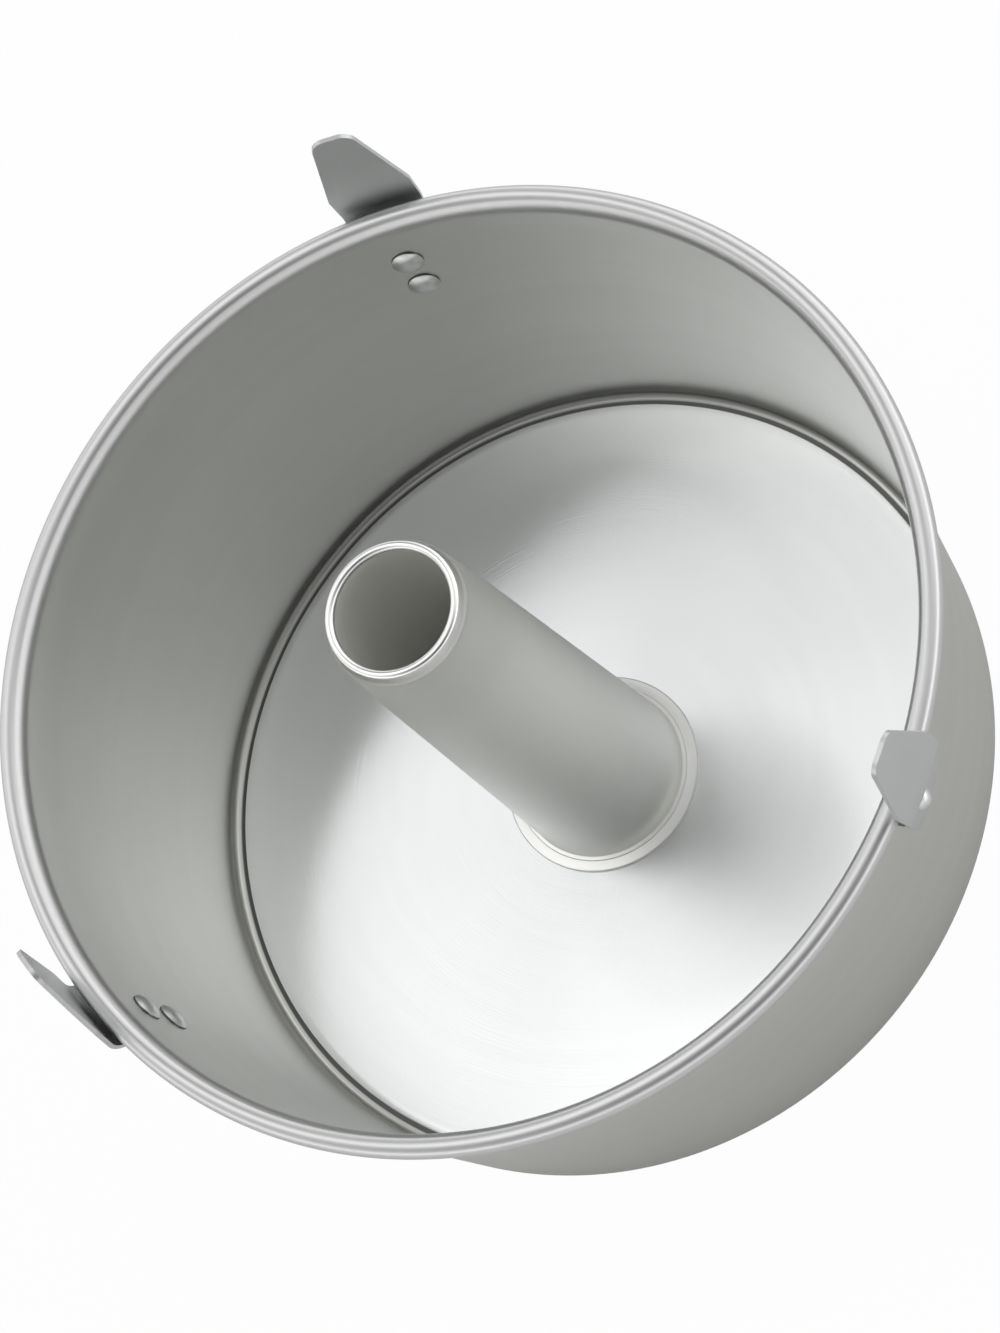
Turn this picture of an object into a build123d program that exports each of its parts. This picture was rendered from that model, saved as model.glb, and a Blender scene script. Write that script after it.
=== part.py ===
"""Two-piece angel food cake pan of spun aluminium, in millimetres.

The pan stands upright on the flat foot ring of its shell. +Z is the pan's
axis, and the origin is the centre of the foot ring on the surface below.
The shell carries three cooling legs, each held by two rivets. The base disc
and the tube are one insert that lies on the shell's ledge and lifts out.
"""

from build123d import *
import math
import os

# Sheet stock
SHELL_SHEET = 1.0
DISC_SHEET = 1.0
TUBE_SHEET = 0.9
LEG_SHEET = 1.3

# Shell: foot ring, tapered wall and rolled rim
RIM_RADIUS = 130.0
RIM_HEIGHT = 106.6
BEAD_RADIUS = 3.0
WALL_FLARE = 19.5
HEEL_RADIUS = 3.0
LEDGE_WIDTH = 9.5
RIM_FLARE_RADIUS = 10.0

# Insert: base disc and tube. The tube narrows from its foot by its body taper,
# then by its shoulder taper, then by the lip's inset. Its neck and crown lie
# their drops below the middle of the lip.
DISC_HEEL_MARGIN = 1.5
DISC_EDGE_ROUND = 0.4
TUBE_FOOT_RADIUS = 23.9
TUBE_BODY_TAPER = 2.95
TUBE_SHOULDER_TAPER = 1.25
TUBE_LIP_INSET = 2.3
TUBE_LIP_HEIGHT = 149.6
TUBE_CROWN_DROP = 2.8
TUBE_NECK_DROP = 29.6
TUBE_NECK_BEND_RADIUS = 300.0
TUBE_CROWN_BEND_RADIUS = 3.0
LIP_BEAD_RADIUS = 1.25
HUB_HOLE_MARGIN = 0.7
COLLAR_WIDTH = 4.2
COLLAR_THICKNESS = 0.9
COLLAR_STEP_WIDTH = 1.2
COLLAR_STEP_HEIGHT = 0.4
COLLAR_EDGE_ROUND = 0.4
UNDER_FLANGE_WIDTH = 3.1
UNDER_FLANGE_THICKNESS = 0.8

# Cooling legs. Heights are rises above the middle of the rolled rim, or drops
# below it.
LEG_FOOT_DROP = 8.6
LEG_FOOT_LENGTH = 27.6
LEG_RIM_GAP = 2.1
LEG_KNEE_DROP = 2.1
LEG_SHOULDER_RISE = 8.4
LEG_TIP_RISE = 36.4
LEG_BEND_RADIUS = 5.0
LEG_FOOT_HALF_WIDTH = 7.4
LEG_NECK_HALF_WIDTH = 11.1
LEG_SHOULDER_HALF_WIDTH = 11.75
LEG_TIP_HALF_WIDTH = 5.45
LEG_TIP_CORNER_RADIUS = 4.2
LEG_FOOT_CORNER_RADIUS = 4.0
LEG_NECK_CORNER_RADIUS = 8.0
LEG_SHOULDER_CORNER_RADIUS = 2.5

# Rivets
UPPER_RIVET_DROP = 15.9
RIVET_PITCH = 11.9
RIVET_SHANK_RADIUS = 2.0
RIVET_HEAD_RADIUS = 4.75
RIVET_HEAD_HEIGHT = 1.8
RIVET_TAIL_RADIUS = 3.1
RIVET_TAIL_HEIGHT = 2.2

# Clearances, and how far a cut runs past what it cuts
LEG_SEAT_GAP = 0.05
RIVET_HOLE_GAP = 0.06
RIVET_SEAT_GAP = 0.12
HUB_GAP = 0.08
CUT_OVERRUN = 4.0

# Angles in degrees. The legs were riveted on and bent by hand, so each has
# its own place round the rim, lean outwards and skew to the side.
BEAD_START_ANGLE = 150.0
BEAD_ROLL_ANGLE = -250.0
LEG_REVOLVE_HALF_ANGLE = 9.0
LEGS = {
    "a": {"azimuth": 90.0, "lean": 4.7, "skew": 2.3},
    "b": {"azimuth": 210.0, "lean": -5.3, "skew": 6.6},
    "c": {"azimuth": 329.3, "lean": 2.0, "skew": 3.5},
}

os.makedirs("parts", exist_ok=True)


def on_circle(centre, radius, angle):
    """Point on a circle in a radius and height section."""
    turn = math.radians(angle)
    return (
        centre[0] + radius * math.cos(turn),
        centre[1] + radius * math.sin(turn),
    )


# The wall's inner face is a straight line in the section. It leaves the heel
# bend at a tangent and ends where it begins to flare out into the rolled rim.
foot_radius = RIM_RADIUS - WALL_FLARE
ledge_inner_radius = foot_radius - LEDGE_WIDTH
heel_centre = (foot_radius, HEEL_RADIUS)
heel_inner_radius = HEEL_RADIUS - SHELL_SHEET
bead_centre = (RIM_RADIUS, RIM_HEIGHT)
flare_centre = on_circle(bead_centre, BEAD_RADIUS - RIM_FLARE_RADIUS, BEAD_START_ANGLE)
wall_run = flare_centre[0] - heel_centre[0]
wall_rise = flare_centre[1] - heel_centre[1]
wall_taper = math.atan2(wall_run, wall_rise) - math.asin(
    (heel_inner_radius + RIM_FLARE_RADIUS) / math.hypot(wall_run, wall_rise)
)
wall_taper_degrees = math.degrees(wall_taper)
flare_start_angle = 180 - wall_taper_degrees
wall_top = on_circle(flare_centre, RIM_FLARE_RADIUS, flare_start_angle)


def wall_inner_radius(height):
    """Radius of the wall's inner face at a height."""
    return wall_top[0] - (wall_top[1] - height) * math.tan(wall_taper)


def wall_outer_radius(height, gap):
    """Radius at a height, a gap outside the wall's outer face."""
    return wall_inner_radius(height) + (SHELL_SHEET + gap) / math.cos(wall_taper)


def section_plane(azimuth):
    """Plane through the axis: local X is the radius, local Y the height."""
    return Plane.XZ.rotated((0, 0, azimuth))


def facing_plane(azimuth, height, skew):
    """Plane through the axis, facing out at an azimuth and turned by a skew."""
    turn = math.radians(azimuth)
    tilt = math.radians(skew)
    return Plane(
        origin=(0, 0, height),
        x_dir=(
            -math.sin(turn) * math.cos(tilt),
            math.cos(turn) * math.cos(tilt),
            math.sin(tilt),
        ),
        z_dir=(math.cos(turn), math.sin(turn), 0),
    )


def rivet_plane(azimuth, skew, height):
    """Plane on the wall's inner face, facing out, on the middle line of a leg."""
    radius = wall_inner_radius(height)
    aside = (rivets_middle_height - height) * math.tan(math.radians(skew))
    turn = math.radians(azimuth) + math.asin(aside / radius)
    return Plane(
        origin=(radius * math.cos(turn), radius * math.sin(turn), height),
        x_dir=(-math.sin(turn), math.cos(turn), 0),
        z_dir=(
            math.cos(turn) * math.cos(wall_taper),
            math.sin(turn) * math.cos(wall_taper),
            -math.sin(wall_taper),
        ),
    )


upper_rivet_height = RIM_HEIGHT - UPPER_RIVET_DROP
rivets_middle_height = upper_rivet_height - RIVET_PITCH / 2
rivet_heights = {
    "lower": upper_rivet_height - RIVET_PITCH,
    "upper": upper_rivet_height,
}
rivet_hole_radius = RIVET_SHANK_RADIUS + RIVET_HOLE_GAP
rivet_grip = SHELL_SHEET + LEG_SEAT_GAP + LEG_SHEET
rivet_cut_reach = rivet_grip + CUT_OVERRUN


# Pan shell: one spun sheet, from the ledge round the heel, up the wall and
# out into the rolled rim.
with BuildPart() as pan_shell:
    with BuildSketch(Plane.XZ) as shell_section:
        with BuildLine():
            ledge = Line((ledge_inner_radius, SHELL_SHEET), (foot_radius, SHELL_SHEET))
            heel = CenterArc(
                heel_centre, heel_inner_radius, -90, 90 - wall_taper_degrees
            )
            Line(heel @ 1, wall_top)
            CenterArc(
                flare_centre,
                RIM_FLARE_RADIUS,
                flare_start_angle,
                BEAD_START_ANGLE - flare_start_angle,
            )
            CenterArc(bead_centre, BEAD_RADIUS, BEAD_START_ANGLE, BEAD_ROLL_ANGLE)
            offset(amount=SHELL_SHEET, side=Side.RIGHT)
        make_face()
    revolve(axis=Axis.Z)
    for leg in LEGS.values():
        for height in rivet_heights.values():
            with BuildSketch(rivet_plane(leg["azimuth"], leg["skew"], height)):
                Circle(rivet_hole_radius)
            extrude(amount=rivet_cut_reach, both=True, mode=Mode.SUBTRACT)
pan_shell.part.label = "pan_shell"
export_step(pan_shell.part, "parts/pan_shell.step")


# Base disc: a flat sheet that lies on the shell's ledge, with a hole for the
# foot of the tube.
disc_radius = foot_radius - DISC_HEEL_MARGIN
disc_bottom = SHELL_SHEET
disc_top = disc_bottom + DISC_SHEET
hub_hole_radius = TUBE_FOOT_RADIUS + HUB_HOLE_MARGIN
with BuildPart() as base_disc:
    with BuildSketch(Plane.XY.offset(disc_bottom)):
        Circle(disc_radius)
        Circle(hub_hole_radius, mode=Mode.SUBTRACT)
    extrude(amount=DISC_SHEET)
    top_rim = base_disc.faces().sort_by(Axis.Z)[-1].outer_wire().edges()
    fillet(top_rim, DISC_EDGE_ROUND)
base_disc.part.label = "base_disc"
export_step(base_disc.part, "parts/base_disc.step")


# Centre tube: a tapered tube, necked in at the top, with a rolled lip. Its
# foot is folded into a collar above the disc and a thin flange below it, which
# hold the disc.
collar_top = disc_top + COLLAR_THICKNESS
step_top = collar_top + COLLAR_STEP_HEIGHT
under_flange_bottom = disc_bottom - UNDER_FLANGE_THICKNESS
hub_radius = hub_hole_radius - HUB_GAP
under_flange_radius = TUBE_FOOT_RADIUS + UNDER_FLANGE_WIDTH
step_radius = TUBE_FOOT_RADIUS + COLLAR_STEP_WIDTH
collar_corner = (TUBE_FOOT_RADIUS + COLLAR_WIDTH, collar_top)
tube_neck = (TUBE_FOOT_RADIUS - TUBE_BODY_TAPER, TUBE_LIP_HEIGHT - TUBE_NECK_DROP)
tube_neck_inside = (tube_neck[0] - TUBE_SHEET, tube_neck[1])
tube_crown = (tube_neck[0] - TUBE_SHOULDER_TAPER, TUBE_LIP_HEIGHT - TUBE_CROWN_DROP)
tube_crown_inside = (tube_crown[0] - TUBE_SHEET, tube_crown[1])
lip_centre = (tube_crown[0] - TUBE_LIP_INSET, TUBE_LIP_HEIGHT)
# The crown runs into the lip's bead at a tangent.
lip_root_turn = math.acos(
    LIP_BEAD_RADIUS / math.hypot(TUBE_LIP_INSET, TUBE_CROWN_DROP)
) - math.atan2(TUBE_CROWN_DROP, TUBE_LIP_INSET)
lip_root = on_circle(lip_centre, LIP_BEAD_RADIUS, math.degrees(lip_root_turn))
tube_bends = [
    (collar_corner, COLLAR_EDGE_ROUND),
    (tube_neck, TUBE_NECK_BEND_RADIUS),
    (tube_neck_inside, TUBE_NECK_BEND_RADIUS - TUBE_SHEET),
    (tube_crown, TUBE_CROWN_BEND_RADIUS),
    (tube_crown_inside, TUBE_CROWN_BEND_RADIUS - TUBE_SHEET),
]
with BuildPart() as centre_tube:
    with BuildSketch(Plane.XZ) as tube_section:
        with BuildLine():
            Polyline(
                (TUBE_FOOT_RADIUS - TUBE_SHEET, under_flange_bottom),
                (under_flange_radius, under_flange_bottom),
                (under_flange_radius, disc_bottom),
                (hub_radius, disc_bottom),
                (hub_radius, disc_top),
                (collar_corner[0], disc_top),
                collar_corner,
                (step_radius, collar_top),
                (step_radius, step_top),
                (TUBE_FOOT_RADIUS, step_top),
                tube_neck,
                tube_crown,
                lip_root,
                lip_centre,
                tube_crown_inside,
                tube_neck_inside,
                close=True,
            )
        make_face()
        for corner, rounding in tube_bends:
            bend = tube_section.vertices().sort_by_distance(corner)[0]
            fillet(bend, rounding)
        with Locations(lip_centre):
            Circle(LIP_BEAD_RADIUS)
    revolve(axis=Axis.Z)
centre_tube.part.label = "centre_tube"
export_step(centre_tube.part, "parts/centre_tube.step")


# Cooling legs: strips cut to an outline, bent to stand on the wall, round the
# rim and rise above it.
leg_foot_top = RIM_HEIGHT - LEG_FOOT_DROP
leg_foot_bottom = leg_foot_top - LEG_FOOT_LENGTH
leg_knee_radius = RIM_RADIUS + BEAD_RADIUS + LEG_RIM_GAP
leg_knee_height = RIM_HEIGHT - LEG_KNEE_DROP
leg_shoulder_height = RIM_HEIGHT + LEG_SHOULDER_RISE
leg_tip_height = RIM_HEIGHT + LEG_TIP_RISE
def make_leg(name, azimuth, lean, skew):
    """Bent strip with its own lean outwards and skew about its rivets."""
    section_bottom = leg_foot_bottom - CUT_OVERRUN
    section_top = leg_tip_height + CUT_OVERRUN
    blade_rise = section_top - leg_knee_height
    section_top_radius = leg_knee_radius + blade_rise * math.tan(math.radians(lean))
    section_points = [
        (wall_outer_radius(section_bottom, LEG_SEAT_GAP), section_bottom),
        (wall_outer_radius(leg_foot_top, LEG_SEAT_GAP), leg_foot_top),
        (leg_knee_radius, leg_knee_height),
        (section_top_radius, section_top),
    ]
    # The outline is drawn as seen from outside, from the middle of the rivets.
    outline_corners = [
        (leg_foot_bottom, LEG_FOOT_HALF_WIDTH, LEG_FOOT_CORNER_RADIUS),
        (leg_foot_top, LEG_NECK_HALF_WIDTH, LEG_NECK_CORNER_RADIUS),
        (leg_shoulder_height, LEG_SHOULDER_HALF_WIDTH, LEG_SHOULDER_CORNER_RADIUS),
        (leg_tip_height, LEG_TIP_HALF_WIDTH, LEG_TIP_CORNER_RADIUS),
    ]
    right_side = []
    left_side = []
    for height, half_width, _ in outline_corners:
        right_side.append((half_width, height - rivets_middle_height))
        left_side.append((-half_width, height - rivets_middle_height))
    outline_plane = facing_plane(azimuth, rivets_middle_height, skew)
    outline_reach = leg_knee_radius + leg_tip_height
    with BuildPart() as leg:
        with BuildSketch(section_plane(azimuth - LEG_REVOLVE_HALF_ANGLE)):
            with BuildLine():
                FilletPolyline(*section_points, radius=LEG_BEND_RADIUS)
                offset(amount=LEG_SHEET, side=Side.RIGHT)
            make_face()
        revolve(axis=Axis.Z, revolution_arc=2 * LEG_REVOLVE_HALF_ANGLE)
        with BuildSketch(outline_plane) as outline:
            with BuildLine():
                Polyline(*right_side, *reversed(left_side), close=True)
            make_face()
            for side in (right_side, left_side):
                for corner, (_, _, rounding) in zip(side, outline_corners):
                    vertex = outline.vertices().sort_by_distance(corner)[0]
                    fillet(vertex, rounding)
        extrude(amount=outline_reach, mode=Mode.INTERSECT)
        for height in rivet_heights.values():
            with BuildSketch(rivet_plane(azimuth, skew, height)):
                Circle(rivet_hole_radius)
            extrude(amount=rivet_cut_reach, both=True, mode=Mode.SUBTRACT)
    leg.part.label = name
    export_step(leg.part, f"parts/{name}.step")
    return leg.part


def dome_radius(half_width, height):
    """Radius of the sphere that a low dome is cut from."""
    return (half_width**2 + height**2) / (2 * height)


def make_rivet(name, azimuth, skew, height):
    """Domed head inside the wall, shank through both sheets, tail outside."""
    seat = rivet_plane(azimuth, skew, height)
    head_seat = -RIVET_SEAT_GAP
    head_crown = head_seat - RIVET_HEAD_HEIGHT
    head_dome = dome_radius(RIVET_HEAD_RADIUS, RIVET_HEAD_HEIGHT)
    tail_seat = rivet_grip + RIVET_SEAT_GAP
    tail_crown = tail_seat + RIVET_TAIL_HEIGHT
    tail_dome = dome_radius(RIVET_TAIL_RADIUS, RIVET_TAIL_HEIGHT)
    # Local X runs along the rivet, outwards, and local Y away from its axis.
    half_section = Plane(origin=seat.origin, x_dir=seat.z_dir, z_dir=-seat.x_dir)
    with BuildPart() as rivet:
        with BuildSketch(half_section):
            with BuildLine():
                RadiusArc(
                    (head_seat, RIVET_HEAD_RADIUS), (head_crown, 0), -head_dome
                )
                Polyline(
                    (head_seat, RIVET_HEAD_RADIUS),
                    (head_seat, RIVET_SHANK_RADIUS),
                    (tail_seat, RIVET_SHANK_RADIUS),
                    (tail_seat, RIVET_TAIL_RADIUS),
                )
                RadiusArc((tail_seat, RIVET_TAIL_RADIUS), (tail_crown, 0), tail_dome)
                Line((tail_crown, 0), (head_crown, 0))
            make_face()
        revolve(axis=Axis(seat.origin, seat.z_dir))
    rivet.part.label = name
    export_step(rivet.part, f"parts/{name}.step")
    return rivet.part


for letter, leg in LEGS.items():
    make_leg(f"cooling_leg_{letter}", leg["azimuth"], leg["lean"], leg["skew"])
    for position, height in rivet_heights.items():
        make_rivet(f"rivet_{letter}_{position}", leg["azimuth"], leg["skew"], height)
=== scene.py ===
"""Two-piece angel food cake pan of spun aluminium, dressed for the camera."""

import math

import bpy
import numpy as np
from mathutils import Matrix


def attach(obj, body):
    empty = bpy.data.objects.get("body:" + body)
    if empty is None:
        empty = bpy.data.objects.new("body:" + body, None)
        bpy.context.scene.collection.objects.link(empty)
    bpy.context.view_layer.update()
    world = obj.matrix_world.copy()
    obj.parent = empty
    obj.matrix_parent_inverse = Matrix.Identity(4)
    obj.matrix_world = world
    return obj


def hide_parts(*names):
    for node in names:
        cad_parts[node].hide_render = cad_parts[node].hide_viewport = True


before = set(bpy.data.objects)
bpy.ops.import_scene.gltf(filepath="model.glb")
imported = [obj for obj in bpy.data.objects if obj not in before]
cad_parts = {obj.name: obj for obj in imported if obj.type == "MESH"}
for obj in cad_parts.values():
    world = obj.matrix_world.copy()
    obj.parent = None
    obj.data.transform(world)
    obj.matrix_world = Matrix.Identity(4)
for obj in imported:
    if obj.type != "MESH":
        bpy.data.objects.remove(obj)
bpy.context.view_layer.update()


# Camera
# A long lens looks down into the pan from a metre and a half away, from two
# thirds of the way up between the side and the top, and is held at a slant.

camera = bpy.data.objects.new("camera", bpy.data.cameras.new("camera"))
camera.data.sensor_width = 36.0
camera.data.lens = 156.593
camera.data.clip_end = 20.0
camera.location = (0.45815, -0.58087, 1.42555)
camera.rotation_euler = [math.radians(angle) for angle in (18.913, 22.2972, -10.0955)]
bpy.context.scene.collection.objects.link(camera)
bpy.context.scene.camera = camera
bpy.context.scene.view_settings.view_transform = "Standard"


# Pan shell
# One sheet of soft aluminium spun over a former: a narrow ledge and a rounded
# heel at the foot, a tapered wall, and an edge that flares out and is rolled
# over into the rim.

# Sizes are millimetres and angles degrees. A point of a section is its radius and its height.
MM = 0.001


def arc(centre, radius, start, sweep, steps):
    """Points of a circle: centre + radius (cos a, sin a), a from start by sweep degrees."""
    angle = np.radians(start + sweep * np.linspace(0.0, 1.0, steps))
    return np.stack([centre[0] + radius * np.cos(angle), centre[1] + radius * np.sin(angle)], 1)


def rounded(before, corner, after, radius, steps):
    """Arc that rounds a corner: it touches both runs radius * tan(turn / 2) from the corner."""
    before, corner, after = (np.asarray(point, float) for point in (before, corner, after))
    arriving = (corner - before) / np.linalg.norm(corner - before)
    leaving = (after - corner) / np.linalg.norm(after - corner)
    turn = math.atan2(arriving[0] * leaving[1] - arriving[1] * leaving[0], arriving @ leaving)
    side = math.copysign(1.0, turn)
    start = corner - arriving * radius * math.tan(abs(turn) / 2)
    centre = start + side * radius * np.array([-arriving[1], arriving[0]])
    first = math.degrees(math.atan2(*(start - centre)[::-1]))
    return arc(centre, radius, first, math.degrees(turn), steps)


def run(start, end, steps):
    """Evenly spaced points of a straight line, without its two ends."""
    share = np.linspace(0.0, 1.0, steps + 2)[1:-1, None]
    return np.asarray(start) * (1 - share) + np.asarray(end) * share


def beside(path, distance):
    """The path moved to its right: point + distance * (dz, -dr) / length of (dr, dz)."""
    along = np.gradient(path, axis=0)
    along /= np.linalg.norm(along, axis=1)[:, None]
    return path + distance * np.stack([along[:, 1], -along[:, 0]], 1)


def finished_mesh(name, points, faces, body, nodes, sharp):
    """A smooth object from whole arrays, sharp only where faces meet above an angle."""
    mesh = bpy.data.meshes.new(name)
    mesh.from_pydata(points, [], faces)
    mesh.polygons.foreach_set("use_smooth", np.ones(len(mesh.polygons), bool))
    mesh.set_sharp_from_angle(angle=math.radians(sharp))
    mesh.update()
    piece = bpy.data.objects.new(name, mesh)
    bpy.context.scene.collection.objects.link(piece)
    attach(piece, body)
    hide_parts(*nodes)
    return piece


def turned(profile, around):
    """Ring of a closed profile: (i, j) is at (r_i cos a_j, r_i sin a_j, z_i), a_j = 2 pi j / n.

    The metal lies to the right of the profile's direction, so that the faces point outwards.
    """
    angle = np.linspace(0.0, 2 * np.pi, around, endpoint=False)
    radius, height = profile[:, :1] * MM, profile[:, 1:] * MM
    points = np.stack([radius * np.cos(angle), radius * np.sin(angle), height + 0 * angle], 2)
    place = np.arange(len(profile) * around).reshape(len(profile), around)
    above, beyond = np.roll(place, -1, 0), np.roll(place, -1, 1)
    faces = np.stack([place, above, np.roll(above, -1, 1), beyond], 2)
    return points.reshape(-1, 3), faces.reshape(-1, 4).tolist()


shell_around = 360
shell_sheet = 1.0
wall_taper = 7.655
ledge_start, ledge_end = (101.0, shell_sheet), (110.5, shell_sheet)
heel_centre, heel_radius = (110.5, 3.0), 2.0
wall_top = (126.151, 104.432)
neck_start, neck_radius = (125.152, 97.0), 120.0
neck_corner, flare_radius = (126.05, 106.5), 7.0
rim_centre, rim_radius = (130.0, 106.6), 3.0
rim_start, rim_roll = 140.85, -240.85
heel = arc(heel_centre, heel_radius, -90.0, 90.0 - wall_taper, 10)
bead = arc(rim_centre, rim_radius, rim_start, rim_roll, 64)
neck = rounded(heel[-1], neck_start, neck_corner, neck_radius, 5)
flare = rounded(neck_start, neck_corner, bead[0], flare_radius, 14)
shell_face = np.concatenate([
    [ledge_start],
    run(ledge_start, ledge_end, 4),
    heel,
    run(heel[-1], neck[0], 24),
    neck,
    run(neck[-1], flare[0], 4),
    flare,
    run(flare[-1], bead[0], 3),
    bead,
])
shell_profile = np.concatenate([shell_face, beside(shell_face, shell_sheet)[::-1]])
shell_points, shell_faces = turned(shell_profile, shell_around)
shell = finished_mesh("spun_shell", shell_points, shell_faces,
                      body="shell", nodes=["pan_shell"], sharp=40)


def mark(piece, name, marked_rows, around):
    """Point attribute that is 1 on the marked rows of a turned profile, and else 0."""
    attribute = piece.data.attributes.new(name, "FLOAT", "POINT")
    attribute.data.foreach_set("value", np.repeat(np.asarray(marked_rows, float), around))


mark(shell, "inner_face", np.arange(len(shell_profile)) < len(shell_face), shell_around)


class Amount:
    """A number or a direction that varies over a surface, on which Python sums add nodes."""

    def __init__(self, finish, socket):
        self.finish, self.socket = finish, socket

    def maths(self, operation, *values):
        """One Math node on these values, in their order."""
        inputs = dict(enumerate(values))
        return self.finish.node("ShaderNodeMath", {"operation": operation}, inputs)

    def __add__(self, other):
        return self.maths("ADD", self, other)

    def __radd__(self, other):
        return self.maths("ADD", other, self)

    def __sub__(self, other):
        return self.maths("SUBTRACT", self, other)

    def __rsub__(self, other):
        return self.maths("SUBTRACT", other, self)

    def __mul__(self, other):
        return self.maths("MULTIPLY", self, other)

    def __rmul__(self, other):
        return self.maths("MULTIPLY", other, self)

    def __truediv__(self, other):
        return self.maths("DIVIDE", self, other)

    def __rtruediv__(self, other):
        return self.maths("DIVIDE", other, self)

    def __pow__(self, other):
        return self.maths("POWER", self, other)

    def rising(self, low, high):
        """0 below low, 1 above high, and a smooth step between them."""
        inputs = {"Value": self, "From Min": low, "From Max": high}
        return self.finish.node("ShaderNodeMapRange", {"interpolation_type": "SMOOTHSTEP"}, inputs)


class Finish:
    """The nodes of a material or of the room's light, and one method that adds any node."""

    # A Mix node's inputs and output for colours, which are named like those for numbers.
    UNDER, OVER, MIXED = 6, 7, 2

    def __init__(self, owner):
        owner.use_nodes = True
        self.owner, self.tree = owner, owner.node_tree
        self.tree.nodes.clear()

    def node(self, kind, settings, inputs, output=0):
        """Adds a node: first its settings, then the value or the link of each socket."""
        made = self.tree.nodes.new(kind)
        for key, value in settings.items():
            setattr(made, key, value)
        for key, value in inputs.items():
            if isinstance(value, Amount):
                self.tree.links.new(value.socket, made.inputs[key])
            else:
                made.inputs[key].default_value = value
        return Amount(self, made.outputs[output]) if made.outputs else None

    def place(self):
        """Object coordinates: the point itself, x, y and z, the radius and the angle."""
        point = self.node("ShaderNodeTexCoord", {}, {}, "Object")
        x, y, z = (self.node("ShaderNodeSeparateXYZ", {}, {"Vector": point}, k) for k in range(3))
        radius = (x * x + y * y) ** 0.5
        return point, x, y, z, radius, x.maths("ARCTAN2", y, x)

    def grain(self, vector, scale, detail=2.0):
        """Even noise from 0 to 1."""
        inputs = {"Vector": vector, "Scale": scale, "Detail": detail, "Roughness": 0.5}
        return self.node("ShaderNodeTexNoise", {}, inputs, "Fac")

    def join(self, x, y, z):
        """The point or direction (x, y, z)."""
        return self.node("ShaderNodeCombineXYZ", {}, {"X": x, "Y": y, "Z": z})

    def tint(self, share, dark, light):
        """Colour between two, by a share from 0 to 1."""
        return self.blend(share, (*dark, 1.0), light)

    def blend(self, share, under, over):
        """One colour worn or stained towards another."""
        inputs = {"Factor": share, self.UNDER: under, self.OVER: (*over, 1.0)}
        return self.node("ShaderNodeMix", {"data_type": "RGBA"}, inputs, self.MIXED)

    def metal(self, colour, roughness, height, depth, anisotropic, bare=1.0):
        """Bare or dulled metal. The height, times the depth in metres, is its relief."""
        bump = {"Height": height, "Distance": depth, "Strength": 1.0}
        normal = self.node("ShaderNodeBump", {}, bump)
        inputs = {"Base Color": colour, "Roughness": roughness, "Normal": normal,
                  "Metallic": bare, "Anisotropic": anisotropic}
        surface = self.node("ShaderNodeBsdfPrincipled", {}, inputs)
        self.node("ShaderNodeOutputMaterial", {}, {"Surface": surface})
        return self.owner


def spun_metal():
    """Satin sheet with the spinning tool's rings, and a brighter rolled rim.

    Painted shade darkens the ledge's gap beside the disc, and the heel at the side of positive y.
    The masks' radii and heights are metres, as object coordinates are.
    """
    finish = Finish(bpy.data.materials.new("spun aluminium"))
    point, x, y, z, radius, angle = finish.place()
    rings = finish.grain(finish.join(radius * 0.15, angle * 0.0008, z), 2600.0, 3.0)
    broad = finish.grain(finish.join(radius * 0.3, angle * 0.004, z), 160.0, 2.0)
    cloud = finish.grain(point, 22.0, 3.0)
    specks = finish.grain(point, 1500.0, 2.0).rising(0.66, 0.74)
    rim = z.rising(0.1040, 0.1052)
    inner = finish.node("ShaderNodeAttribute", {"attribute_name": "inner_face"}, {}, "Fac")
    # Painted shade: the ledge strip in the gap beside the disc is darkened, and so is the foot of
    # the heel on the side of positive y.
    gap = 1.0 - radius.rising(0.1101, 0.1108)
    corner = (1.0 - z.rising(0.0018, 0.0032)) * (y / radius).rising(0.2, 0.9) * 0.6
    crevice_shade = gap.maths("MAXIMUM", gap, corner) * radius.rising(0.1085, 0.1092) * inner
    share = 0.5 + (broad - 0.5) * 0.5 + (cloud - 0.5) * 0.6 - specks * 0.25
    colour = finish.tint(share, (0.66, 0.668, 0.635), (0.76, 0.768, 0.735))
    colour = finish.blend(rim * 0.8, colour, (0.735, 0.735, 0.745))
    # The painted shade is a near black colour blended over the metal.
    colour = finish.blend(crevice_shade * 0.9, colour, (0.05, 0.05, 0.053))
    roughness = 0.37 + (rings - 0.5) * 0.06 + (cloud - 0.5) * 0.05 + rim * 0.07
    height = rings * (1.0 - rim * 0.7) + specks * 0.4
    return finish.metal(colour, roughness, height, 0.000012, 0.7)


shell.data.materials.append(spun_metal())


# Base disc
# A flat round of sheet, faced on a lathe, so its fine turning lines throw the
# light into bright and dark sectors. It lies loose on the shell's ledge.

disc_around = 360
disc_sheet = 1.0
disc_radius, hole_radius, disc_round = 109.0, 24.6, 0.4
disc_bottom, disc_top = shell_sheet, shell_sheet + disc_sheet
hole_edge, top_edge = (hole_radius, disc_top), (disc_radius - disc_round, disc_top)
disc_profile = np.concatenate([
    [(hole_radius, disc_bottom), hole_edge],
    run(hole_edge, top_edge, 40),
    arc((top_edge[0], disc_top - disc_round), disc_round, 90.0, -90.0, 5),
    [(disc_radius, disc_bottom)],
])
disc_points, disc_faces = turned(disc_profile, disc_around)
disc = finished_mesh("faced_disc", disc_points, disc_faces,
                     body="insert", nodes=["base_disc"], sharp=40)


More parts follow.
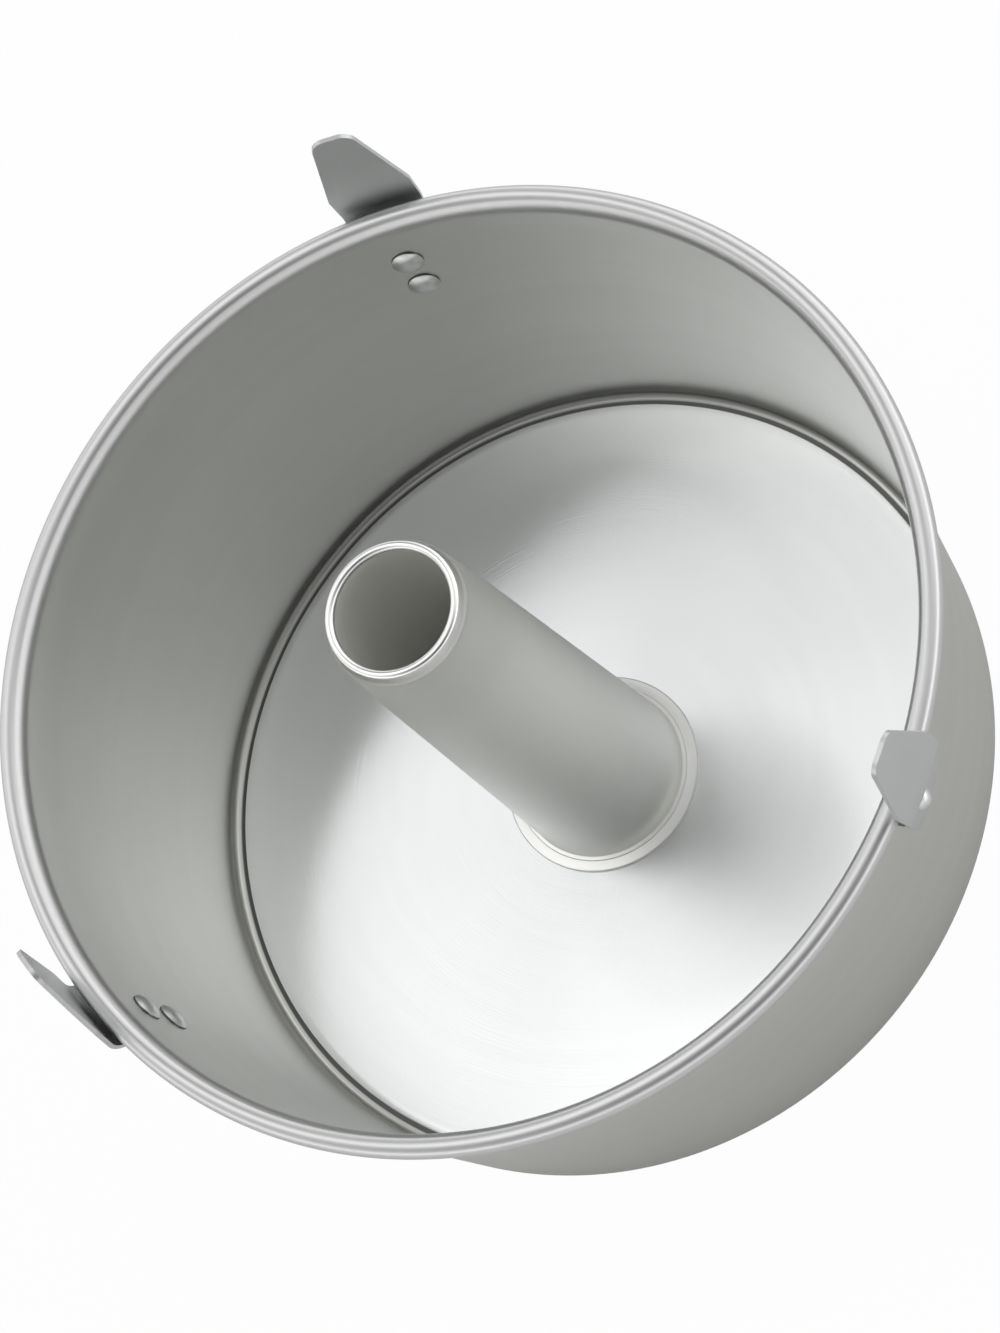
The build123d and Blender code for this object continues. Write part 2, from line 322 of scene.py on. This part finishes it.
def faced_metal():
    """Fine concentric cuts: noise that changes fast with the radius and slowly with the angle."""
    finish = Finish(bpy.data.materials.new("faced aluminium"))
    point, x, y, z, radius, angle = finish.place()
    cuts = finish.grain(finish.join(radius, angle * 0.0010, z), 3000.0, 3.0)
    bands = finish.grain(finish.join(radius, angle * 0.003, z), 220.0, 2.0)
    cloud = finish.grain(point, 18.0, 3.0)
    rubs = finish.grain(finish.join(x, y * 0.12, z), 420.0, 2.0).rising(0.68, 0.76)
    share = 0.5 + (bands - 0.5) * 0.5 + (cloud - 0.5) * 0.5
    colour = finish.tint(share, (0.825, 0.838, 0.843), (0.905, 0.918, 0.923))
    roughness = 0.235 + (cuts - 0.5) * 0.04 + (cloud - 0.5) * 0.03 + rubs * 0.01
    return finish.metal(colour, roughness, cuts + bands * 0.4, 0.000008, 1.0)


disc.data.materials.append(faced_metal())


# Centre tube
# A drawn and tapered tube, necked in under a small rolled lip. Its foot is
# folded into a flat collar that clamps it to the base disc.

tube_around = 256
tube_sheet = 0.9
flange_radius, flange_bottom, hub_radius = 27.0, 0.2, 24.52
collar_bottom, collar_top, collar_round = (28.1, disc_top), (28.1, 2.9), 0.4
step_foot, step_top, step_round = (25.1, 2.9), (25.1, 3.3), 0.15
tube_foot, body_start, foot_round = (23.9, 3.3), (23.9, 3.4), 0.2
neck_outside, shoulder_radius = (20.95, 120.0), 300.0
crown_outside, crown_radius = (19.7, 146.8), 3.0
neck_inside = (neck_outside[0] - tube_sheet, neck_outside[1])
crown_corner = (crown_outside[0] - tube_sheet, crown_outside[1])
bore_foot = (tube_foot[0] - tube_sheet, flange_bottom)
lip_centre, lip_radius = (17.4, 149.6), 1.25
lip_start, lip_roll = 19.2, 277.4
lip = arc(lip_centre, lip_radius, lip_start, lip_roll, 40)
shoulder = rounded(tube_foot, neck_outside, crown_outside, shoulder_radius, 8)
crown = rounded(neck_outside, crown_outside, lip[0], crown_radius, 10)
crown_inside = rounded(lip[-1], crown_corner, neck_inside, crown_radius - tube_sheet, 8)
shoulder_inside = rounded(crown_corner, neck_inside, bore_foot, shoulder_radius - tube_sheet, 8)
tube_outside = np.concatenate([
    [(flange_radius, flange_bottom), (flange_radius, disc_bottom)],
    [(hub_radius, disc_bottom), (hub_radius, disc_top), collar_bottom],
    rounded(collar_bottom, collar_top, step_foot, collar_round, 5),
    rounded(collar_top, step_foot, step_top, step_round, 3),
    rounded(step_foot, step_top, tube_foot, foot_round, 4),
    rounded(step_top, tube_foot, neck_outside, foot_round, 3),
    run(body_start, shoulder[0], 24),
    shoulder,
    run(shoulder[-1], crown[0], 6),
    crown,
    lip,
])
tube_bore = np.concatenate([
    crown_inside,
    shoulder_inside,
    run(shoulder_inside[-1], bore_foot, 12),
    [bore_foot],
])
tube_profile = np.concatenate([tube_outside, tube_bore])[::-1]
tube_points, tube_faces = turned(tube_profile, tube_around)
tube = finished_mesh("drawn_tube", tube_points, tube_faces,
                     body="insert", nodes=["centre_tube"], sharp=40)
mark(tube, "inner_face", np.arange(len(tube_profile)) < len(tube_bore), tube_around)


def drawn_metal():
    """Matt sheet, finely ringed, with a brighter rolled lip and a bore dulled by baking."""
    finish = Finish(bpy.data.materials.new("drawn aluminium"))
    point, x, y, z, radius, angle = finish.place()
    rings = finish.grain(finish.join(radius * 0.2, angle * 0.001, z), 2400.0, 3.0)
    cloud = finish.grain(point, 40.0, 3.0)
    specks = finish.grain(point, 1800.0, 2.0).rising(0.66, 0.74)
    lip_mask = z.rising(0.1478, 0.1486)
    inner = finish.node("ShaderNodeAttribute", {"attribute_name": "inner_face"}, {}, "Fac")
    share = 0.5 + (cloud - 0.5) * 0.7 - specks * 0.3 + lip_mask * 0.4
    colour = finish.tint(share, (0.89, 0.895, 0.875), (0.95, 0.955, 0.935))
    colour = finish.blend(inner, colour, (0.93, 0.93, 0.895))
    roughness = 0.44 + (rings - 0.5) * 0.06 + (cloud - 0.5) * 0.05 - lip_mask * 0.14
    return finish.metal(colour, roughness, rings + specks * 0.4, 0.000010, 0.3, 1.0 - inner)


tube.data.materials.append(drawn_metal())


# Cooling legs
# Three strips stamped from thicker sheet, each riveted to the outside of the
# wall and bent by hand round the rim. They steady the upturned pan on the table.

leg_sheet = 1.3
leg_gap = 0.05
leg_columns = 25
bend_radius = 5.0
cut_bevel = 0.18
section_foot, bend_height = 60.0, 98.0
knee, blade_rise = np.array([135.1, 104.5]), 45.0
rivet_heights = {"lower": 78.8, "upper": 90.7}
rivets_middle = (rivet_heights["lower"] + rivet_heights["upper"]) / 2
wall_lean = math.tan(math.radians(wall_taper))


def wall_radius(height):
    """Radius of the wall's inner face: r = top radius - (top height - z) tan(taper)."""
    return wall_top[0] - (wall_top[1] - height) * wall_lean


# Half width and height of the outline's corners, from the foot to the tip, and their radii.
leg_corners = [(0.0, 70.4), (7.4, 70.4), (11.1, 98.0), (11.75, 115.0), (5.45, 143.0), (0.0, 143.0)]
corner_radii = [4.0, 8.0, 2.5, 4.2]
leg_bends = [rounded(*leg_corners[k:k + 3], radius, 9) for k, radius in enumerate(corner_radii)]
leg_outline = np.concatenate([
    leg_bends[0],
    run(leg_bends[0][-1], leg_bends[1][0], 26),
    leg_bends[1],
    run(leg_bends[1][-1], leg_bends[2][0], 22),
    leg_bends[2],
    run(leg_bends[2][-1], leg_bends[3][0], 22),
    leg_bends[3],
])


def leg_points(azimuth, lean, skew, columns):
    """Inner and outer face of a bent strip.

    The strip's outline gives a half width w at each height h along it, turned by the skew s:
    y = u w cos s - (h - m) sin s and z = m + (h - m) cos s + u w sin s, for u from -1 to 1.
    The bent section gives the radius r(z), and the outer face lies a sheet's thickness along
    the section's normal. A point at y and r stands at (sqrt(r^2 - y^2), y) from the axis.
    """
    widths, heights = leg_outline.T
    seat = (shell_sheet + leg_gap) * math.sqrt(1 + wall_lean**2)
    foot, bend = [(wall_radius(z) + seat, z) for z in (section_foot, bend_height)]
    top = knee + np.array([math.tan(math.radians(lean)), 1.0]) * blade_rise
    section = np.concatenate([[foot], rounded(foot, bend, knee, bend_radius, 9),
                              rounded(bend, knee, top, bend_radius, 9), [top]])
    slope = np.gradient(section[:, 0], section[:, 1])
    share, turn = np.linspace(-1, 1, columns), math.radians(skew)
    along = (heights - rivets_middle)[:, None]
    y = share * widths[:, None] * math.cos(turn) - along * math.sin(turn)
    z = rivets_middle + along * math.cos(turn) + share * widths[:, None] * math.sin(turn)
    faces = []
    for depth in (0.0, leg_sheet):
        steep = np.interp(z, section[:, 1], slope)
        length = np.sqrt(1 + steep**2)
        radius = np.interp(z, section[:, 1], section[:, 0]) + depth / length
        out = np.sqrt(radius**2 - y**2)
        a = math.radians(azimuth)
        faces.append(np.stack([out * math.cos(a) - y * math.sin(a),
                               out * math.sin(a) + y * math.cos(a),
                               z - depth * steep / length], 2) * MM)
    return faces


def stamped_leg(letter, azimuth, lean, skew):
    """Two faces joined by a narrow cut edge all round, which is then broken by a small bevel."""
    inner, outer = leg_points(azimuth, lean, skew, leg_columns)
    points = np.concatenate([inner.reshape(-1, 3), outer.reshape(-1, 3)])
    one_face = len(leg_outline) * leg_columns
    place = np.arange(one_face).reshape(-1, leg_columns)
    quad = np.stack([place[:-1, :-1], place[1:, :-1], place[1:, 1:], place[:-1, 1:]], 2)
    ring = np.concatenate([place[0, :], place[1:, -1], place[-1, -2::-1], place[-2:0:-1, 0]])
    following = np.roll(ring, -1)
    edge = np.stack([ring, following, following + one_face, ring + one_face], 1)
    far_quad = (quad + one_face)[:, :, ::-1]
    faces = np.concatenate([quad.reshape(-1, 4), far_quad.reshape(-1, 4), edge])
    leg = finished_mesh(f"stamped_leg_{letter}", points, faces.tolist(),
                        body="shell", nodes=[f"cooling_leg_{letter}"], sharp=50)
    cut = np.zeros(len(faces))
    cut[-len(edge):] = 1.0
    leg.data.attributes.new("cut_edge", "FLOAT", "FACE").data.foreach_set("value", cut)
    bevel = leg.modifiers.new("broken edge", "BEVEL")
    bevel.width, bevel.segments, bevel.limit_method = cut_bevel * MM, 2, "ANGLE"
    bevel.angle_limit = math.radians(50)
    return leg


def stamped_metal():
    """Satin sheet with the rolling mill's faint grain, and bright sheared edges."""
    finish = Finish(bpy.data.materials.new("stamped aluminium"))
    point, x, y, z, radius, angle = finish.place()
    cut = finish.node("ShaderNodeAttribute", {"attribute_name": "cut_edge"}, {}, "Fac")
    grain = finish.grain(finish.join(x, y, z * 0.08), 1500.0, 3.0)
    cloud = finish.grain(point, 60.0, 3.0)
    shear = finish.grain(finish.join(x, y, z), 900.0, 2.0)
    share = 0.5 + (grain - 0.5) * 0.4 + (cloud - 0.5) * 0.6 + cut * 0.1
    colour = finish.tint(share, (0.595, 0.608, 0.605), (0.715, 0.728, 0.725))
    roughness = 0.42 + (grain - 0.5) * 0.08 + (cloud - 0.5) * 0.06 + cut * 0.04
    return finish.metal(colour, roughness, grain * 0.6 + shear * cut, 0.00002, 0.0)


leg_metal = stamped_metal()
legs = {"a": (90.0, 4.7, 2.3), "b": (210.0, -5.3, 6.6), "c": (329.3, 2.0, 3.5)}
for letter, (azimuth, lean, skew) in legs.items():
    stamped_leg(letter, azimuth, lean, skew).data.materials.append(leg_metal)


# Rivets
# Two soft aluminium rivets hold each leg: a low domed head inside the pan, a
# shank through both sheets, and a tail hammered over on the outside.

rivet_around = 48
dome_foot, dome_height, dome_radius, dome_power = -0.55, 1.37, 4.42, 2.3
tail_foot, tail_height, tail_radius, tail_power = 2.47, 2.2, 3.1, 2.2
head_edge = [(-0.3, 4.46), (-0.06, 4.48), (-0.04, 4.75), (0.0, 4.75)]
shank = [(0.0, 2.0), (2.35, 2.0), (2.35, 3.0)]


def rivet_points(azimuth, skew, height, around):
    """Profile (a, r) turned about the rivet's axis, which stands square on the wall.

    A point lies at seat + a axis + r (cos t side + sin t up). The dome and the tail are
    a = foot -+ height (1 - h^power) at r = radius h, where h is 0 at their middle, 1 at their edge.
    The seat lies on the leg's middle line, aside of its azimuth by (m - z) tan s.
    """
    aside = (rivets_middle - height) * math.tan(math.radians(skew))
    a = math.radians(azimuth) + math.asin(aside / wall_radius(height))
    tilt = math.atan(wall_lean)
    axis = np.array([math.cos(a) * math.cos(tilt), math.sin(a) * math.cos(tilt), -math.sin(tilt)])
    side = np.array([-math.sin(a), math.cos(a), 0.0])
    up = np.cross(axis, side)
    seat = np.array([math.cos(a) * wall_radius(height), math.sin(a) * wall_radius(height), height])
    head = np.linspace(0.02, 1.0, 16)
    dome = np.stack([dome_foot - dome_height * (1 - head**dome_power), dome_radius * head], 1)
    tail = np.linspace(1.0, 0.02, 12)
    button = np.stack([tail_foot + tail_height * (1 - tail**tail_power), tail_radius * tail], 1)
    profile = np.concatenate([dome, head_edge, shank, button])
    t = np.linspace(0, 2 * np.pi, around, endpoint=False)
    ring = np.cos(t)[:, None] * side + np.sin(t)[:, None] * up
    points = seat + profile[:, :1, None] * axis + profile[:, 1:, None] * ring
    place = np.arange(len(profile) * around).reshape(len(profile), around)
    beyond = np.roll(place, -1, 1)
    quad = np.stack([place[:-1], beyond[:-1], beyond[1:], place[1:]], 2)
    caps = [place[0, ::-1].tolist(), place[-1].tolist()]
    # The rows of the head's edge and underside carry the painted shade round the head.
    shaded_rows = (np.arange(len(profile)) >= len(dome)) & (profile[:, 0] <= 0)
    return points.reshape(-1, 3) * MM, quad.reshape(-1, 4).tolist() + caps, shaded_rows


def riveted_metal():
    """Bright soft metal with the dents of the setting tool, and a painted line of shade round the
    head.
    """
    finish = Finish(bpy.data.materials.new("hammered aluminium"))
    point, x, y, z, radius, angle = finish.place()
    dents = finish.grain(point, 380.0, 2.0)
    grain = finish.grain(point, 2500.0, 2.0)
    share = 0.5 + (dents - 0.5) * 0.8
    seat_shade = finish.node("ShaderNodeAttribute", {"attribute_name": "seat_shade"}, {}, "Fac")
    colour = finish.tint(share, (0.74, 0.745, 0.74), (0.84, 0.845, 0.84))
    # Painted shade: a near black line round the head where it meets the wall.
    colour = finish.blend(seat_shade * 0.9, colour, (0.12, 0.12, 0.12))
    roughness = 0.36 + (grain - 0.5) * 0.08
    return finish.metal(colour, roughness, dents + grain * 0.08, 0.00012, 0.0)


rivet_metal = riveted_metal()
for letter, (azimuth, lean, skew) in legs.items():
    for position, height in rivet_heights.items():
        rivet_mesh, rivet_faces, shaded_rows = rivet_points(azimuth, skew, height, rivet_around)
        rivet = finished_mesh(f"set_rivet_{letter}_{position}", rivet_mesh, rivet_faces,
                              body="shell", nodes=[f"rivet_{letter}_{position}"],
                              sharp=45)
        mark(rivet, "seat_shade", shaded_rows, rivet_around)
        rivet.data.materials.append(rivet_metal)


# Table and light
# A white table under the pan and a white room round it. Broad soft lights
# stand on all sides and overhead, and it is darker round the camera.

paper_white, paper_glow = (0.85, 0.85, 0.85, 1.0), 0.97
white = (1.0, 1.0, 1.0, 1.0)
light_base, light_low = 0.13, 0.86
# Azimuth in degrees and strength of the lights that stand low round the pan.
side_lights = [(0, 0.61), (45, 0.46), (90, 0.13), (225, 0.48), (315, 0.13)]
# Azimuth, elevation, reach and core in degrees, and strength of the lamps above.
lamps = [
    (0, 38, 26, 12, 0.38), (30, 38, 26, 12, 0.61), (60, 38, 26, 12, 0.78),
    (150, 38, 26, 12, 0.75), (210, 38, 26, 12, 0.43), (240, 38, 26, 12, 0.16),
    (135, 63, 24, 10, 0.72), (180, 63, 24, 10, 0.80), (0, 90, 20, 8, 0.07),
    (128, 83, 14, 4, 0.62), (77, 70, 14, 4, 0.55), (149, 43, 14, 4, 0.39),
    (179, 70, 14, 4, 0.38), (308, 77, 17, 6, 0.68), (32, 62, 17, 6, 0.52),
    (66, 41, 17, 6, 0.33), (190, 41, 17, 6, 0.21), (224, 62, 17, 6, 0.07),
]

floor_mesh = bpy.data.meshes.new("table")
floor_mesh.from_pydata([(-4, -4, 0), (4, -4, 0), (4, 4, 0), (-4, 4, 0)], [], [(0, 1, 2, 3)])
floor = bpy.data.objects.new("table", floor_mesh)
bpy.context.scene.collection.objects.link(floor)
paper = Finish(bpy.data.materials.new("white paper"))
seen = paper.node("ShaderNodeLightPath", {}, {}, "Is Camera Ray")
lit = paper.node("ShaderNodeBsdfDiffuse", {}, {"Color": paper_white})
glow = paper.node("ShaderNodeEmission", {}, {"Color": white, "Strength": 1.0})
both = paper.node("ShaderNodeMixShader", {}, {0: seen * paper_glow, 1: lit, 2: glow})
paper.node("ShaderNodeOutputMaterial", {}, {"Surface": both})
floor.data.materials.append(paper.owner)

room = bpy.data.worlds.new("white room")
bpy.context.scene.world = room
sky = Finish(room)
facing = sky.node("ShaderNodeTexCoord", {}, {}, "Generated")


def towards(azimuth, elevation):
    """How nearly a direction faces a place in the room: the cosine of the angle between them."""
    a, e = math.radians(azimuth), math.radians(elevation)
    place = (math.cos(e) * math.cos(a), math.cos(e) * math.sin(a), math.sin(e))
    inputs = {0: facing, 1: place}
    return sky.node("ShaderNodeVectorMath", {"operation": "DOT_PRODUCT"}, inputs, "Value")


def soft_patch(azimuth, elevation, reach, core):
    """A round patch of light: 1 within the core, 0 beyond the reach, both in degrees."""
    edges = [math.cos(math.radians(angle)) for angle in (reach, core)]
    return towards(azimuth, elevation).rising(*edges)


horizon = 1.0 - towards(0.0, 90.0).rising(0.22, 0.50)
darker_side = soft_patch(308, 61, 38.0, 12.0)
light = (1.0 - darker_side) * light_base + horizon * light_low
for azimuth, strength in side_lights:
    light = light + soft_patch(azimuth, 0.0, 50.0, 10.0) * horizon * strength
for azimuth, elevation, reach, core, strength in lamps:
    light = light + soft_patch(azimuth, elevation, reach, core) * strength
seen = sky.node("ShaderNodeLightPath", {}, {}, "Is Camera Ray")
backdrop = sky.node("ShaderNodeBackground", {}, {"Color": white, "Strength": 1.0})
lamplight = sky.node("ShaderNodeBackground", {}, {"Color": white, "Strength": light})
both = sky.node("ShaderNodeMixShader", {}, {0: seen, 1: lamplight, 2: backdrop})
sky.node("ShaderNodeOutputWorld", {}, {"Surface": both})
